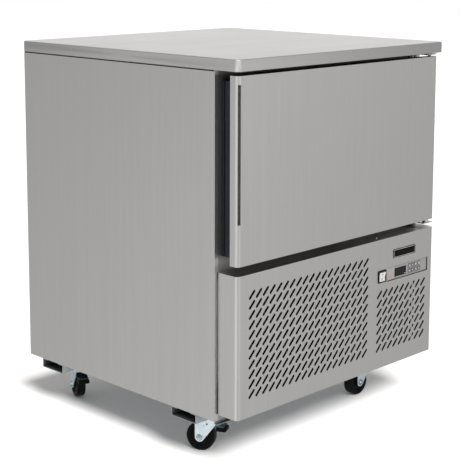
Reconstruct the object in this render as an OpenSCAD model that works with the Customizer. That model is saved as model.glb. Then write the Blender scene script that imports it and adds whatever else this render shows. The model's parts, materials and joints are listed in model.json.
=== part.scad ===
// Undercounter blast chiller on castors.
// Front is -Y, right-hand hinge side is +X, Z = 0 is the floor, the origin is under the middle of the worktop.

/* [Cabinet] */
// Overall width, across the worktop
cabinet_w = 800; // [760:5:900]
// Overall depth, across the worktop
cabinet_d = 815; // [780:5:900]
// Height of the worktop's upper face above the floor
cabinet_h = 1010; // [990:5:1060]
// Height of the worktop's folded edge
worktop_t = 29; // [25:1:40]
// Corner radius of the worktop
worktop_r = 12; // [5:1:16]
// Step from the worktop's edge in to the side panels
side_inset = 2; // [1:0.5:4]
// Step from the worktop's edge in to the back panel
back_inset = 5; // [3:1:8]
// Sheet thickness of the cladding
sheet = 1; // [0.8:0.1:1.2]
// Sheet thickness of the worktop and the base pan
heavy_sheet = 1.5; // [1.2:0.1:2]
// Width of the side panels' folded flanges
flange_w = 12; // [11:1:16]
// Shadow gap between the side panels and the worktop
top_gap = 3; // [2:0.5:5]
// Depth of the folded lip under the front of the base pan
hem_h = 7; // [5:1:10]

/* [Door] */
// Step from the worktop's side edge in to the door's side
door_side_gap = 11; // [8:0.5:13]
// Step from the worktop's front edge back to the door's face
door_inset = 10; // [8:1:14]
// Depth of the door's outer skin
skin_d = 25.5; // [23:0.5:27]
// Depth of the plastic frame behind the skin
breaker_d = 26; // [22:0.2:28]
// Thickness of the gasket
gasket_d = 16; // [12:1:18]
// Width of the gasket
gasket_w = 28; // [24:1:32]
// How far the skin stands out past the gasket
skin_over = 15; // [14:1:19]
// Gap between the worktop and the door
door_top_gap = 10.5; // [10:0.5:14]
// Gap between the door and the lower panel
mid_gap = 22.8; // [22:0.2:26]
// Radius of the upright front corners of door and panel
corner_r = 10; // [8:0.5:12]
// Outer radius of the finger grip's channel
grip_r = 8; // [7:0.5:9]
// Distance from the door's top edge to the grip
grip_drop = 20; // [16:1:40]
// Distance from the door's bottom edge to the grip
grip_foot = 100; // [60:1:140]
// Diameter of the hinge pins
pin_d = 8; // [6:0.5:9]
// Distance of the hinge pins from the door's side edge
pin_edge = 18; // [16:0.5:20]

/* [Lower panel] */
// Height of the lower panel
panel_h = 352.7; // [335:0.1:372]
// Gap between the side panel's lower edge and the lower panel
panel_foot = 16; // [12:1:20]
// Gap between the lower panel's sides and the cabinet
panel_gap = 3; // [2:0.5:5]
// Length of a vent slot, end to end
slot_l = 28; // [20:1:30]
// Width of a vent slot
slot_w = 7.2; // [5:0.2:9]
// Step between slots, sideways
slot_step_x = 24; // [22:0.5:26]
// Step between slots, upwards
slot_step_z = 24.5; // [23:0.1:25]
// Width of the controller fascia
fascia_w = 182; // [180:1:188]
// Height of the controller fascia
fascia_h = 38; // [36:1:42]
// Step between keys, sideways and upwards
key_step = 14.4; // [13:0.2:15]
// Width of a key
key_w = 9; // [7:0.5:11]
// Travel of a key
key_travel = 0.6; // [0.4:0.1:1]
// Width and height of the rocker switch's frame
switch_w = 33; // [30:1:36]
// Tip of the rocker from one side to the other, in degrees
rocker_tip = 14; // [8:1:18]

/* [Base] */
// Height of a castor, floor to the top of its plate
castor_h = 106; // [104:0.5:115]
// Diameter of a castor wheel
wheel_d = 75; // [70:1:76]
// Width of a castor wheel
wheel_w = 25; // [20:1:28]
// Offset of the wheel's axle behind the swivel
trail = 25; // [22:0.5:28]
// Diameter of the axle bolt
axle_d = 8; // [6:0.5:10]
// Height of the base channels
channel_h = 24; // [20:1:30]
// Width of the base channels
channel_w = 88; // [86:1:100]
// Thickness of the base channels
channel_t = 2; // [1.5:0.5:3]
// Distance of the castors' swivels from the side panel's face
castor_inset = 96; // [70:1:130]
// Front channel's middle, behind the worktop's front edge
front_channel_y = 186; // [150:2:220]
// Rear channel's middle, behind the worktop's front edge
rear_channel_y = 710; // [660:5:720]

/* [Inside] */
// Step between tray runners
rack_step = 68; // [60:1:70]
// Length of a tray runner
runner_l = 380; // [330:5:420]
// Width of a tray
tray_w = 530; // [520:1:540]
// Depth of the evaporator coil
evap_d = 90; // [70:5:110]
// Clearance between the evaporator fan and the chamber's floor
evap_fan_clear = 58.5; // [50:0.5:80]
// Diameter of the condenser fan
cond_fan_d = 280; // [220:5:300]
// Diameter of the compressor's shell
compressor_d = 180; // [150:5:200]
// Outer diameter of the copper pipes
pipe_d = 10; // [8:1:12]

/* [Hidden] */
$fn = 48;
seat = 0.3;          // gap between a piece at rest and its seat
run = 0.1;           // radial clearance of a pin that turns
eps = 1;             // how far a cutter runs past what it cuts

// cabinet planes
edge_y = -cabinet_d / 2;
back_y = cabinet_d / 2 - back_inset;
side_x = cabinet_w / 2 - side_inset;
inner_x = side_x - sheet;
body_z0 = castor_h + channel_h;
body_z1 = cabinet_h - worktop_t;
panel_top = body_z1 - top_gap;
door_y = edge_y + door_inset;
skin_y1 = door_y + skin_d;
breaker_y1 = skin_y1 + breaker_d;
frame_y = breaker_y1 + gasket_d + seat;
panel_z0 = body_z0 + panel_foot;
panel_z1 = panel_z0 + panel_h;
door_z0 = panel_z1 + mid_gap;
door_z1 = body_z1 - door_top_gap;
door_h = door_z1 - door_z0;
door_w = cabinet_w - 2 * door_side_gap;
seal_x = door_w / 2 - skin_over;
seal_z0 = door_z0 + skin_over;
seal_z1 = door_z1 - skin_over;
mouth_x = seal_x - gasket_w;
mouth_z0 = seal_z0 + gasket_w;
mouth_z1 = seal_z1 - gasket_w;
mouth_r = 14;
rail_drop = 26;      // the front frame reaches this far below the lower panel's top
deck_rise = 6;       // the deck lies this far above the lower panel's top
deck_z = panel_z1 + deck_rise;
frame_z0 = panel_z1 - rail_drop;
back_wall = 64;      // insulation behind the chamber
liner_y1 = back_y - sheet - back_wall;
pan_top = body_z0 + heavy_sheet;

// hinge
pin_x = door_w / 2 - pin_edge;
pin_y = door_y + 15;
hinge_t = 3;
hinge_plate_x0 = pin_x - 20;
hinge_plate_x1 = door_w / 2 + 2;
hinge_leg_x1 = side_x - flange_w - seat;
top_plate_z = door_z1 + 4;
hinge_leg_h = top_plate_z + hinge_t - seal_z1 - 2;
bottom_plate_z = door_z0 - 12;
pin_grip = 10;       // how deep a pin reaches into the door
bush_d = pin_d + 8;

// finger grip
grip_x = -door_w / 2 + grip_r + 1;
grip_y = door_y + grip_r;
grip_z1 = door_z1 - grip_drop;
grip_z0 = door_z0 + grip_foot;
grip_len = grip_z1 - grip_z0;
grip_t = 1;
lip_from = 220;      // the channel is open between these two angles
lip_to = 274;

// control strip
control_drop = 100.7; // from the lower panel's top to the middle of the controls
fascia_edge = 24;    // from the lower panel's side to the fascia
control_z = panel_z1 - control_drop;
fascia_x = door_w / 2 - fascia_edge - fascia_w / 2;
fascia_rim = 4;      // how far the fascia's plate reaches behind the panel
fascia_y = door_y + 3;
fascia_t = 4;
case_w = fascia_w - 12;
case_h = fascia_h - 9;
case_d = 55;
display_w = 50;
display_h = 23;
display_x = fascia_x - 28;
display_z = control_z - 1;
key_x0 = fascia_x + 12;
key_z0 = control_z + key_step / 2;
key_h = key_w - 1;
key_t = 2.4;
key_out = 0.8;
switch_x = fascia_x - fascia_w / 2 - switch_w / 2 - 5;
switch_d = 26;
switch_rim = 2.5;
rocker_w = switch_w - 8;
rocker_h = switch_w - 6;
rocker_y = door_y + 6;
plate_w = 98;
plate_h = 24;
plate_t = 1.5;
plate_edge = 82;     // from the lower panel's side to the plate
plate_drop = 48;     // from the lower panel's top to the middle of the plate
plate_x = door_w / 2 - plate_edge - plate_w / 2;
plate_z = panel_z1 - plate_drop;

// vent fields
field_side = 50;     // first column, from the lower panel's left side
field_end = 42;      // clear width right of the last column
right_field_w = 194;
field_split = 58;    // between the two fields
field_foot = 56.5;     // first row, above the lower panel's foot
field_top = 50;      // clear height above the left field
control_clear = 45;  // clear height between the right field and the controls
left_x = -door_w / 2 + field_side;
right_x = door_w / 2 - field_end - right_field_w;
field_z = panel_z0 + field_foot;
left_cols = 1 + floor((right_x - field_split - left_x) / slot_step_x);
right_cols = 1 + floor(right_field_w / slot_step_x);
left_rows = 1 + floor((panel_z1 - field_top - field_z) / slot_step_z);
right_rows = 1 + floor((control_z - control_clear - field_z) / slot_step_z);

// tray racks
tray_gap = 4;
runner_w = 22;
runner_t = 1.5;
runner_y0 = frame_y + 22;
runner_y1 = runner_y0 + runner_l;
rack_x0 = tray_w / 2 + tray_gap;
rack_post = 14;
rack_z0 = mouth_z0 + 24;
rack_levels = floor((mouth_z1 - rack_z0) / rack_step);
hook_t = 6;

// evaporator
evap_y0 = liner_y1 - evap_d - 12;
cowl_y = evap_y0 - 78;
coil_side = 2;
bend_z0 = 30;        // height of the first return bend
bend_step = 50;
evap_w = 2 * mouth_x - 150;
cowl_w = evap_w + 2 * (coil_side + sheet + seat);
mid_z = (mouth_z0 + mouth_z1) / 2;
evap_fan_d = mouth_z1 - mouth_z0 - 2 * evap_fan_clear;
ring_gap = 6;        // between the fan's blades and its ring
ring_t = 2;
fan_gap = 6;
fan_w = 34;
motor_d = 84;
motor_l = 28;
shaft_d = 8;
guard_rod = 3;

// machine space
cond_x = -112;
cond_w = 440;
cond_d = 60;
cond_y0 = frame_y + 14;
cond_z1 = frame_z0 - 8;
shroud_d = 30;
cond_z = (pan_top + cond_z1) / 2;
comp_x = -40;
comp_y = 175;
comp_h = 190;
foot_h = 18;
receiver_x = 150;
receiver_y = 60;
receiver_d = 90;
receiver_h = 210;
pipe_x = mouth_x - 45;
pipe_y = liner_y1 - 60;
pipe_pair = 26;
drain_x = -mouth_x + 35;
drain_y = liner_y1 - 60;
drain_d = 22;
tray_wall = 2;
tray_h = 40;
tray_x = [-60, 140]; // the drip tray's sides, from the drain
tray_y = [-100, 60];
ebox_t = 2;
ebox_w = 90;
ebox_h = 200;
ebox_l = 200;
ebox_y0 = 40;
ebox_rise = 60;
gland_x = inner_x - 97;
gland_y = back_y - 30;
gland_d = 20;

// screws
screw_d = 4;
screw_head = 8;
screw_l = 9;
rail_screw_step = 107;
panel_screw_x = 160;
panel_screw_y = door_y + 20;
back_screw_z = [deck_z + 20, body_z1 - 60];
back_rows = 5;
nut_w = 13;

// castors
castor_x = side_x - castor_inset;
castor_y = [edge_y + front_channel_y, edge_y + rear_channel_y];
castor_turn = [117, 180, 66, 100];   // where each wheel trails: front left, front right, rear left, rear right
plate_lx = 78;
plate_ly = 66;
castor_plate_t = 2.5;
bolt_d = 8;
bolt_x = 30;
bolt_y = 24;
wheel_r = wheel_d / 2;
fork_t = 2.5;
leg_y = wheel_w / 2 + 4;
race_d = 48;
king_d = 12;
king_head = 3;
crown_z1 = castor_h - castor_plate_t - 16;
crown_z0 = crown_z1 - fork_t;
tread_r = 4;
lever_pivot = [5, wheel_r + 36.5];
lever_pin = 5;
shoe_gap = 2;

// ---------- helpers ----------

module slab(x0, x1, y0, y1, z0, z1) {
    translate([x0, y0, z0]) cube([x1 - x0, y1 - y0, z1 - z0]);
}

// rectangle with four round corners, centred
module round_rect(w, h, r) {
    square([w, h - 2 * r], center = true);
    square([w - 2 * r, h], center = true);
    for (x = [-1, 1], y = [-1, 1]) translate([x * (w / 2 - r), y * (h / 2 - r)]) circle(r);
}

// plan of a tray that faces the front: round front corners, square at the back
module front_plan(w, d, r) {
    translate([-w / 2, r]) square([w, d - r]);
    translate([-w / 2 + r, 0]) square([w - 2 * r, d]);
    for (x = [-1, 1]) translate([x * (w / 2 - r), r]) circle(r);
}

// a shape drawn in X and Z, given thickness backwards from y
module upright(y, d) {
    translate([0, y + d, 0]) rotate([90, 0, 0]) linear_extrude(d) children();
}

module mouth_plan(grow = 0) {
    translate([0, mid_z]) round_rect(2 * (mouth_x + grow), mouth_z1 - mouth_z0 + 2 * grow, mouth_r + grow);
}

// straight pipes through the points, with a brazed elbow at each corner
module pipe_run(points, d) {
    $fn = 24;
    for (i = [0 : len(points) - 2]) {
        a = points[i];
        b = points[i + 1];
        v = b - a;
        l = norm(v);
        translate(a) rotate([0, acos(v[2] / l), atan2(v[1], v[0])]) cylinder(h = l, d = d);
        if (i > 0) translate(a) sphere(d = d + 2);
    }
}

// ---------- cabinet ----------

module worktop() {
    color("gainsboro") difference() {
        translate([0, 0, body_z1]) linear_extrude(worktop_t) round_rect(cabinet_w, cabinet_d, worktop_r);
        translate([0, 0, body_z1 + heavy_sheet]) linear_extrude(worktop_t - 2 * heavy_sheet)
            round_rect(cabinet_w - 2 * heavy_sheet, cabinet_d - 2 * heavy_sheet, worktop_r - heavy_sheet);
        translate([0, 0, body_z1 - eps]) linear_extrude(worktop_t / 2)
            round_rect(cabinet_w - 36, cabinet_d - 36, worktop_r - heavy_sheet);
    }
}

module side_panel(side) {
    color("silver") mirror([side < 0 ? 1 : 0, 0, 0]) {
        slab(inner_x, side_x, frame_y - sheet, back_y, body_z0, panel_top);
        slab(side_x - flange_w, side_x, frame_y - sheet, frame_y, body_z0, body_z1);
        slab(side_x - flange_w, side_x, frame_y + sheet, back_y - sheet, panel_top - sheet, panel_top);
    }
}

module side_panel_left() { side_panel(-1); }
module side_panel_right() { side_panel(1); }

module back_panel() {
    color("silver") difference() {
        slab(-inner_x, inner_x, back_y - sheet, back_y, body_z0, body_z1);
        // vents of the machine space, and the screw holes
        for (i = [0 : 11], j = [0 : 1])
            translate([-240 + i * 40, back_y, body_z0 + 70 + j * 80]) rotate([90, 0, 0])
                linear_extrude(4 * sheet, center = true) round_rect(6, 60, 2.9);
        back_screws() cylinder(h = 8, d = screw_d + 2 * run, center = true);
    }
}

module front_frame() {
    color("dimgray") difference() {
        union() {
            slab(-inner_x, inner_x, frame_y, frame_y + sheet, frame_z0, body_z1);
            slab(-inner_x, inner_x, frame_y, frame_y + 20, frame_z0, frame_z0 + sheet);
            slab(-inner_x, inner_x, frame_y, back_y - sheet, deck_z - sheet, deck_z);
        }
        upright(frame_y - eps, sheet + 2 * eps) mouth_plan();
        frame_screws() cylinder(h = 12, d = screw_d + 2 * run, center = true);
        deck_cuts();
    }
}

module chamber_liner() {
    color("silver") difference() {
        upright(frame_y + sheet, liner_y1 - frame_y - sheet) mouth_plan(sheet);
        upright(frame_y, liner_y1 - frame_y - sheet) mouth_plan();
        deck_cuts();
    }
}

// pipes and drain on their way down through the floor of the chamber
module deck_cuts() {
    for (i = [0, 1]) translate([pipe_x + i * pipe_pair, pipe_y, frame_z0])
        cylinder(h = 200, d = pipe_d + 2 * seat);
    translate([drain_x, drain_y, frame_z0]) cylinder(h = 200, d = drain_d + 2 * seat);
}

module cabinet_insulation() {
    color("khaki") {
        difference() {
            slab(-inner_x, inner_x, frame_y + sheet, back_y - sheet, deck_z, body_z1);
            for (x = [-1, 1]) translate([x * side_x, 0, 0])
                slab(-flange_w, flange_w, frame_y, back_y, panel_top - sheet, body_z1 + eps);
            upright(frame_y, liner_y1 - frame_y) mouth_plan(sheet);
            deck_cuts();
            frame_screws() cylinder(h = 60, d = screw_d + 2, center = true);
            back_screws() cylinder(h = 60, d = screw_d + 2, center = true);
        }
        translate([0, 0, body_z1 + heavy_sheet]) linear_extrude(worktop_t - 2 * heavy_sheet)
            round_rect(cabinet_w - 2 * heavy_sheet, cabinet_d - 2 * heavy_sheet, worktop_r - heavy_sheet);
    }
}

module base_pan() {
    color("silver") difference() {
        slab(-inner_x, inner_x, frame_y, back_y - sheet, body_z0, pan_top);
        translate([gland_x, gland_y, body_z0]) cylinder(h = 10, d = gland_d + 2 * run, center = true);
    }
    color("silver") {
        slab(-inner_x, inner_x, frame_y, frame_y + sheet, pan_top, pan_top + 18);
        slab(-inner_x, inner_x, frame_y, frame_y + heavy_sheet, body_z0 - hem_h, body_z0);
        slab(-inner_x, inner_x, frame_y - 10, frame_y, body_z0 - hem_h, body_z0 - hem_h + heavy_sheet);
    }
}

module base_channels() {
    color("lightsteelblue") for (y = castor_y) difference() {
        slab(-side_x, side_x, y - channel_w / 2, y + channel_w / 2, castor_h, body_z0);
        slab(-side_x - eps, side_x + eps, y - channel_w / 2 + channel_t, y + channel_w / 2 - channel_t,
            castor_h + channel_t, body_z0 - channel_t);
        slab(-side_x - eps, side_x + eps, y - channel_w / 2 + 20, y + channel_w / 2 - 20,
            castor_h + channel_t, body_z0 + eps);
        for (x = [-1, 1]) translate([x * castor_x, y, castor_h]) castor_bolts()
            cylinder(h = 12, d = bolt_d + 2 * run, center = true);
    }
}

// ---------- screws ----------

module castor_bolts() {
    for (x = [-1, 1], y = [-1, 1]) translate([x * bolt_x, y * bolt_y, 0]) children();
}

// middle rail, and the legs of the two hinge brackets
module frame_screws() {
    for (x = [-2, -1, 1, 2]) translate([x * rail_screw_step, frame_y, frame_z0 + 11]) rotate([90, 0, 0])
        children();
    for (x = [hinge_plate_x0 + 9, hinge_leg_x1 - 9]) {
        translate([x, frame_y, top_plate_z - 8]) rotate([90, 0, 0]) children();
        translate([x, frame_y, bottom_plate_z + hinge_t + 10]) rotate([90, 0, 0]) children();
    }
}

module back_screws() {
    step = (back_screw_z[1] - back_screw_z[0]) / (back_rows - 1);
    for (x = [-1, 1], i = [0 : back_rows - 1])
        translate([x * (inner_x - 12), back_y, back_screw_z[0] + i * step]) rotate([-90, 0, 0]) children();
}

module cabinet_screws() {
    color("silver") {
        // rail screws sit on the frame, bracket screws sit on the brackets' legs
        for (x = [-2, -1, 1, 2]) translate([x * rail_screw_step, frame_y, frame_z0 + 11])
            rotate([90, 0, 0]) screw();
        for (x = [hinge_plate_x0 + 9, hinge_leg_x1 - 9]) {
            translate([x, frame_y - hinge_t, top_plate_z - 8]) rotate([90, 0, 0]) screw();
            translate([x, frame_y - hinge_t, bottom_plate_z + hinge_t + 10]) rotate([90, 0, 0]) screw();
        }
        back_screws() screw();
        translate([panel_screw_x, panel_screw_y, panel_z1]) screw();
        for (x = [-1, 1], y = castor_y) translate([x * castor_x, y, castor_h - castor_plate_t]) castor_bolts() {
            translate([0, 0, -5]) cylinder(h = 5, d = nut_w, $fn = 6);
            cylinder(h = castor_plate_t + channel_t + 9, d = bolt_d);
            translate([0, 0, castor_plate_t + channel_t]) cylinder(h = 6, d = nut_w, $fn = 6);
        }
    }
}

// pan head above Z = 0, shank below it
module screw() {
    cylinder(h = 2.2, d = screw_head);
    translate([0, 0, -screw_l]) cylinder(h = screw_l, d = screw_d);
}

// ---------- chamber ----------

module tray_rack(side) {
    color("silver") mirror([side < 0 ? 1 : 0, 0, 0]) {
        for (y = [runner_y0 + 30, runner_y1 - 30 - rack_post]) {
            slab(rack_x0, rack_x0 + rack_post, y, y + rack_post,
                mouth_z0, rack_z0 + (rack_levels - 1) * rack_step + hook_t);
            // hooks that hold the upright off the chamber's wall
            for (z = [rack_z0 + 10, rack_z0 + (rack_levels - 1) * rack_step])
                slab(rack_x0 + rack_post, mouth_x, y + 2, y + rack_post - 2, z, z + hook_t);
        }
        for (i = [0 : rack_levels - 1]) {
            z = rack_z0 + i * rack_step;
            slab(rack_x0 - runner_w, rack_x0 + rack_post / 2, runner_y0, runner_y1, z, z + runner_t);
        }
    }
}

module tray_racks() {
    tray_rack(-1);
    tray_rack(1);
}

// finned block between two end plates, with return bends at the ends
module fin_coil(w, y0, d, z0, z1) {
    pitch = 12;
    rows = floor((z1 - z0 - bend_z0) / bend_step);
    difference() {
        slab(-w / 2, w / 2, y0, y0 + d, z0 + 6, z1 - 6);
        for (i = [1 : floor(w / pitch) - 1])
            slab(-w / 2 + i * pitch - 4, -w / 2 + i * pitch + 4, y0 - eps, y0 + 6, z0 + 10, z1 - 10);
    }
    for (x = [-1, 1]) translate([x * (w / 2 + coil_side / 2), 0, 0])
        slab(-coil_side / 2, coil_side / 2, y0, y0 + d, z0, z1);
    for (x = [-1, 1], i = [0 : rows - 1])
        translate([x * (w / 2 + coil_side), y0 + d / 2, z0 + bend_z0 + i * bend_step]) rotate([90, 0, 90 * x]) rotate_extrude(angle = 180) translate([12, 0]) circle(d = 9, $fn = 24);
}

module evaporator_coil() {
    color("silver") fin_coil(evap_w, evap_y0, evap_d, mouth_z0, mouth_z1);
}

// fan panel with its ring, folded sides that reach the coil, and the wire guard
module evaporator_cowl() {
    ring_d = evap_fan_d + 2 * ring_gap;
    color("silver") {
        difference() {
            union() {
                slab(-cowl_w / 2, cowl_w / 2, cowl_y, cowl_y + sheet, mouth_z0, mouth_z1);
                for (x = [-1, 1]) translate([x * (cowl_w / 2 - sheet / 2), 0, 0])
                    slab(-sheet / 2, sheet / 2, cowl_y, evap_y0 + 20, mouth_z0, mouth_z1);
                translate([0, cowl_y, mid_z]) rotate([-90, 0, 0]) cylinder(h = fan_w, d = ring_d + 2 * ring_t);
            }
            translate([0, cowl_y - eps, mid_z]) rotate([-90, 0, 0]) cylinder(h = fan_w + 2 * eps, d = ring_d);
        }
        translate([0, cowl_y - guard_rod / 2, mid_z]) rotate([90, 0, 0]) {
            for (r = [30 : 24 : ring_d / 2])
                rotate_extrude() translate([r, 0]) circle(d = guard_rod, $fn = 16);
            for (a = [0, 45, 90, 135]) rotate([0, 0, a])
                cube([evap_fan_d + 30, guard_rod, guard_rod], center = true);
        }
    }
}

// motor on a cross bar with two posts that stand on the fan's panel; the fan sits in front of it
module fan_motor(face_y, z, span) {
    hub_y = face_y + fan_gap + fan_w;
    translate([0, 0, z]) {
        translate([0, hub_y + seat, 0]) rotate([-90, 0, 0]) cylinder(h = motor_l, d = motor_d);
        translate([0, hub_y + seat + motor_l, 0]) rotate([-90, 0, 0]) cylinder(h = 6, d = motor_d - 24);
        translate([0, face_y + fan_gap + 4, 0]) rotate([-90, 0, 0]) cylinder(h = fan_w, d = shaft_d);
        slab(-span / 2, span / 2, hub_y + 4, hub_y + 7, -10, 10);
        for (x = [-1, 1]) translate([x * (span / 2 - 3), 0, 0]) slab(-3, 3, face_y, hub_y + 7, -10, 10);
    }
}

// hub with flat pitched blades
module axial_fan(d, blades) {
    difference() {
        union() {
            cylinder(h = fan_w, d = d * 0.26);
            intersection() {
                for (i = [0 : blades - 1]) rotate([0, 0, i * 360 / blades]) translate([d / 4, 0, fan_w / 2])
                    rotate([32, 0, 0]) cube([d / 2, d * 0.21, 2], center = true);
                cylinder(h = fan_w, d = d);
            }
        }
        translate([0, 0, -eps]) cylinder(h = fan_w + 2 * eps, d = shaft_d + 2 * run);
    }
}

module evaporator_fan_motor() {
    color("dimgray") fan_motor(cowl_y + sheet, mid_z, evap_fan_d + 60);
}

module evaporator_fan() {
    color("gray") translate([0, cowl_y + sheet + fan_gap, mid_z]) rotate([-90, 0, 0]) axial_fan(evap_fan_d, 5);
}

module drain_pipe() {
    color("white") translate([drain_x, drain_y, 0]) difference() {
        union() {
            translate([0, 0, pan_top + 30]) cylinder(h = mouth_z0 - pan_top - 30, d = drain_d);
            translate([0, 0, mouth_z0]) cylinder(h = 2, d = drain_d + 12);
        }
        translate([0, 0, pan_top]) cylinder(h = mouth_z0, d = drain_d - 4);
    }
}

module drip_tray() {
    color("silver") difference() {
        slab(drain_x + tray_x[0], drain_x + tray_x[1], drain_y + tray_y[0], drain_y + tray_y[1],
            pan_top, pan_top + tray_h);
        slab(drain_x + tray_x[0] + tray_wall, drain_x + tray_x[1] - tray_wall, drain_y + tray_y[0] + tray_wall,
            drain_y + tray_y[1] - tray_wall, pan_top + tray_wall, pan_top + tray_h + eps);
    }
}

// ---------- machine space ----------

module condenser_coil() {
    color("dimgray") translate([cond_x, 0, 0]) {
        fin_coil(cond_w, cond_y0, cond_d, pan_top, cond_z1);
        // shroud that leads the air to the fan
        half = cond_w / 2 + coil_side;
        difference() {
            slab(-half, half, cond_y0 + cond_d, cond_y0 + cond_d + shroud_d, pan_top, cond_z1);
            slab(-half + coil_side, half - coil_side, cond_y0 + cond_d - eps,
                cond_y0 + cond_d + shroud_d - sheet, pan_top + 10, cond_z1 - 10);
            translate([0, cond_y0 + cond_d, cond_z]) rotate([-90, 0, 0]) cylinder(h = 60, d = cond_fan_d + 10);
        }
    }
}

module condenser_fan_motor() {
    color("dimgray") translate([cond_x, 0, 0])
        fan_motor(cond_y0 + cond_d + shroud_d, cond_z, cond_fan_d + 60);
}

module condenser_fan() {
    color("gray") translate([cond_x, cond_y0 + cond_d + shroud_d + fan_gap, cond_z]) rotate([-90, 0, 0])
        axial_fan(cond_fan_d, 5);
}

module compressor() {
    color([0.12, 0.12, 0.13]) translate([comp_x, comp_y, pan_top]) {
        for (x = [-1, 1], y = [-1, 1]) translate([x * 80, y * 60, 0]) cylinder(h = foot_h, d = 28);
        slab(-100, 100, -78, 78, foot_h, foot_h + 4);
        translate([0, 0, foot_h + 4]) rotate_extrude() {
            square([compressor_d / 2 - 30, comp_h]);
            square([compressor_d / 2, comp_h - 30]);
            translate([compressor_d / 2 - 30, comp_h - 30]) circle(30);
        }
        slab(compressor_d / 2 - 20, compressor_d / 2 + 34, -34, 34, foot_h + 60, foot_h + 130);
    }
}

module liquid_receiver() {
    color([0.12, 0.12, 0.13]) translate([receiver_x, receiver_y, pan_top]) {
        cylinder(h = 4, d = receiver_d + 24);
        translate([0, 0, 4]) rotate_extrude() {
            square([receiver_d / 2 - 16, receiver_h]);
            square([receiver_d / 2, receiver_h - 16]);
            translate([receiver_d / 2 - 16, receiver_h - 16]) circle(16);
        }
    }
}

// four brazed runs: compressor to condenser, condenser to receiver, receiver through the drier up to the
// evaporator, and the suction line back down; each starts on the face that it leaves
module refrigerant_pipes() {
    top = pan_top + foot_h + 4 + comp_h;
    receiver_top = pan_top + 4 + receiver_h;
    run_z = deck_z - 30;
    cond_back = cond_y0 + cond_d + shroud_d;
    cond_left = cond_x - cond_w / 2 + 14;
    cond_right = cond_x + cond_w / 2 - 14;
    low_z = pan_top + 40;
    evap_side = evap_w / 2 + coil_side;
    rise_z = mouth_z0 + bend_z0 + bend_step / 2;
    color("peru") {
        pipe_run([[comp_x - 30, comp_y, top], [comp_x - 30, comp_y, run_z], [cond_left, comp_y, run_z],
            [cond_left, cond_back + 25, run_z], [cond_left, cond_back + 25, cond_z1 - 20],
            [cond_left, cond_back, cond_z1 - 20]], pipe_d);
        pipe_run([[cond_right, cond_back, low_z], [cond_right, cond_back + 25, low_z],
            [receiver_x - receiver_d / 2 - 12, receiver_y, low_z],
            [receiver_x - receiver_d / 2, receiver_y, low_z]], pipe_d);
        pipe_run([[receiver_x, receiver_y, receiver_top], [receiver_x, receiver_y, run_z - 20],
            [pipe_x, pipe_y, run_z - 20], [pipe_x, pipe_y, rise_z], [evap_side, pipe_y, rise_z]], pipe_d);
        translate([receiver_x, receiver_y, receiver_top + 6]) cylinder(h = 34, d = 26);
        pipe_run([[evap_side, pipe_y, rise_z + bend_step], [pipe_x + pipe_pair, pipe_y, rise_z + bend_step],
            [pipe_x + pipe_pair, pipe_y, run_z - 40], [comp_x + 30, comp_y + 40, run_z - 40],
            [comp_x + 30, comp_y + 40, top]], pipe_d);
    }
}

module electrical_box() {
    z0 = pan_top + ebox_rise;
    color("lightgray") difference() {
        slab(inner_x - ebox_w, inner_x, ebox_y0, ebox_y0 + ebox_l, z0, z0 + ebox_h);
        slab(inner_x - ebox_w + ebox_t, inner_x - ebox_t, ebox_y0 + ebox_t, ebox_y0 + ebox_l - ebox_t,
            z0 + ebox_t, z0 + ebox_h - ebox_t);
    }
}

// cable entry through the base pan; no cord is fitted
module mains_gland() {
    color([0.1, 0.1, 0.1]) translate([gland_x, gland_y, 0]) difference() {
        union() {
            translate([0, 0, body_z0 - 5]) cylinder(h = 5, d = gland_d + 8, $fn = 6);
            translate([0, 0, body_z0 - 18]) cylinder(h = 13, d = gland_d - 2);
            translate([0, 0, body_z0 - 1]) cylinder(h = heavy_sheet + 9, d = gland_d);
            translate([0, 0, pan_top]) cylinder(h = 5, d = gland_d + 8, $fn = 6);
        }
        translate([0, 0, body_z0 - 20]) cylinder(h = 60, d = 10);
    }
}

// ---------- lower panel ----------

module vent_slot() {
    rotate(-45) {
        square([slot_w, slot_l - slot_w], center = true);
        for (s = [-1, 1]) translate([0, s * (slot_l - slot_w) / 2]) circle(d = slot_w, $fn = 16);
    }
}

module vent_field(x0, cols, rows) {
    for (i = [0 : cols - 1], j = [0 : rows - 1])
        translate([x0 + i * slot_step_x, field_z + j * slot_step_z]) vent_slot();
}

module grille_panel() {
    d = frame_y - sheet - panel_gap - door_y;
    tongue_x = side_x - flange_w - seat;
    color("silver") difference() {
        union() {
            difference() {
                translate([0, door_y, panel_z0]) linear_extrude(panel_h) front_plan(door_w, d, corner_r);
                translate([0, door_y + sheet, panel_z0 + sheet]) linear_extrude(panel_h - 2 * sheet)
                    front_plan(door_w - 2 * sheet, d, corner_r - sheet);
            }
            // the folds above and below reach back to the front frame and the base pan
            for (z = [panel_z0, panel_z1 - sheet])
                slab(-tongue_x, tongue_x, door_y + corner_r, frame_y, z, z + sheet);
        }
        translate([panel_screw_x, panel_screw_y, panel_z1])
            cylinder(h = 8, d = screw_d + 2 * run, center = true);
        upright(door_y - eps, sheet + 2 * eps) {
            vent_field(left_x, left_cols, left_rows);
            vent_field(right_x, right_cols, right_rows);
            translate([fascia_x, control_z]) square([fascia_w, fascia_h], center = true);
            translate([switch_x, control_z])
                square([switch_w - 6 + 2 * seat, switch_w - 4 + 2 * seat], center = true);
        }
    }
}

module name_plate() {
    color([0.15, 0.15, 0.16]) upright(door_y - plate_t, plate_t) translate([plate_x, plate_z])
        round_rect(plate_w, plate_h, 3);
}

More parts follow.
